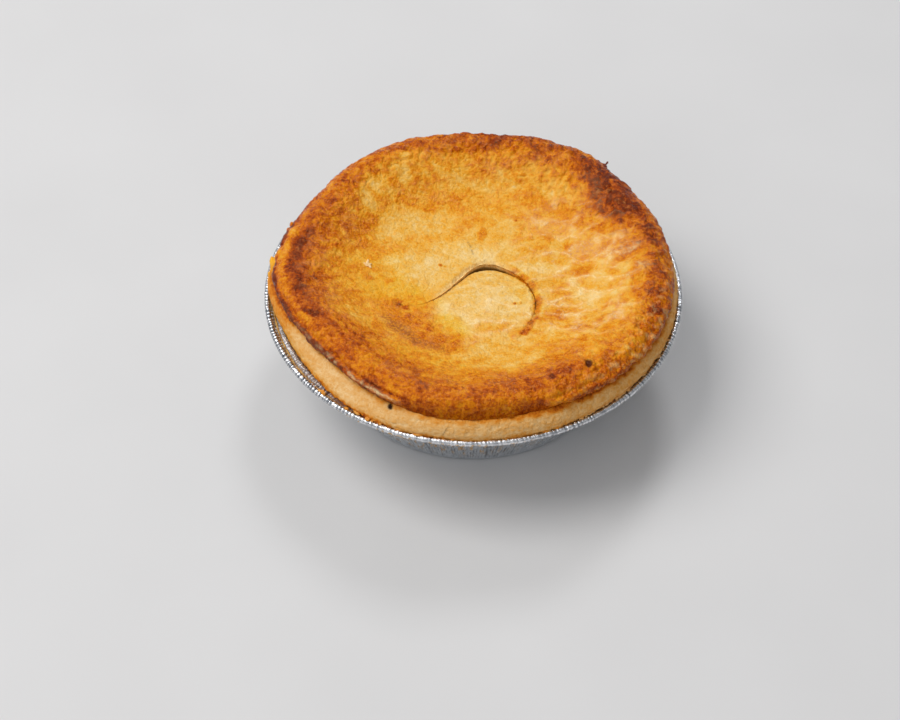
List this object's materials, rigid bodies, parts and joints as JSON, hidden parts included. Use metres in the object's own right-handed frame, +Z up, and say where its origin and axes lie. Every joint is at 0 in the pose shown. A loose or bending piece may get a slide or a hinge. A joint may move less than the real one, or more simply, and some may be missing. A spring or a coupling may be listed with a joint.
{
  "type": "meat pie",
  "caption": "Round steak and onion pie in a crimped foil tin, with a browned, sunken pastry lid and a curled steam vent.",
  "frame": {"origin": "middle of the tin's foot, on the surface it stands on", "axes": "+Z up through the lid, -Y towards the front of the pie, +X to the pie's right"},
  "size_m": [0.13, 0.126, 0.0462],
  "materials": {
    "foil": "thin bright foil with fine vertical crimps and a rolled, finely creased rim",
    "case_pastry": "pale dry baked pastry, browner where it meets the tin",
    "filling": "dark moist gravy filling",
    "lid_pastry": "egg-washed golden pastry, dark brown and glossy at the raised edge, paler in the middle"
  },
  "bodies": {
    "root": {"foil_tin": "foil", "pastry_case": "case_pastry", "filling": "filling", "pastry_lid": "lid_pastry"}
  },
  "joints": []
}
